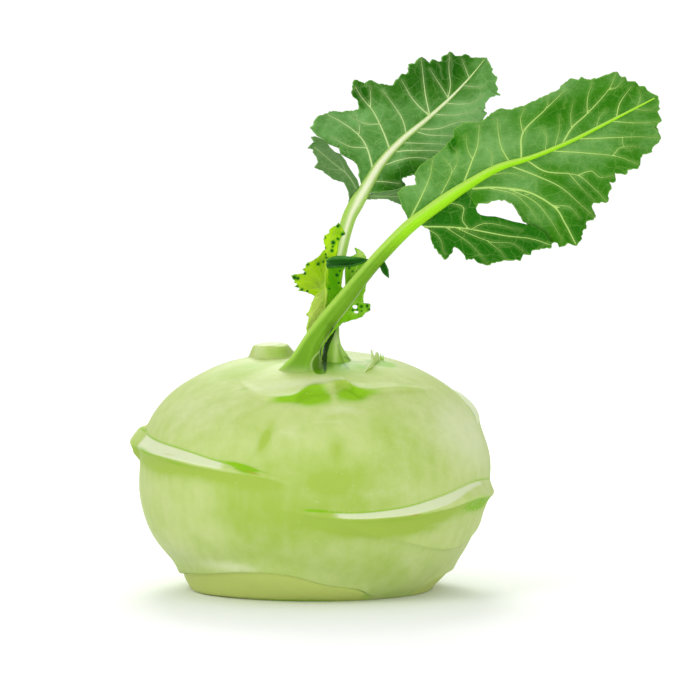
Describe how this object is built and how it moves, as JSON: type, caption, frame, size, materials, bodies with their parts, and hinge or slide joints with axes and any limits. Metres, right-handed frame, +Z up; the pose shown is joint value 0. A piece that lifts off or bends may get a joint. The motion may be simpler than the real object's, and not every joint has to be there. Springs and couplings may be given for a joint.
{
  "type": "kohlrabi",
  "caption": "Kohlrabi bulb, flattened and round, with crescent leaf scars, a cut root end to stand on, toothed leaves on slender stalks and small heart leaves.",
  "frame": {"origin": "centre of the flat cut root end that the bulb stands on", "axes": "+Z up through the crown, +X towards the side the leaves reach to, -Y the front; millimetres in the source, metres in the row"},
  "size_m": [0.1471, 0.1013, 0.1495],
  "materials": {
    "bulb": "waxy satin",
    "front_leaf_stalk": "smooth satin",
    "front_leaf_blade": "satin leaf",
    "back_leaf_stalk": "smooth satin",
    "back_leaf_blade": "satin leaf",
    "young_leaf_left": "satin leaf",
    "young_leaf_right": "satin leaf",
    "stalk_leaflet_left": "satin leaf",
    "stalk_leaflet_right": "satin leaf"
  },
  "bodies": {
    "root": {"bulb": "bulb", "front_leaf_stalk": "front_leaf_stalk", "front_leaf_blade": "front_leaf_blade", "back_leaf_stalk": "back_leaf_stalk", "back_leaf_blade": "back_leaf_blade", "young_leaf_left": "young_leaf_left", "young_leaf_right": "young_leaf_right", "stalk_leaflet_left": "stalk_leaflet_left", "stalk_leaflet_right": "stalk_leaflet_right"}
  },
  "joints": []
}
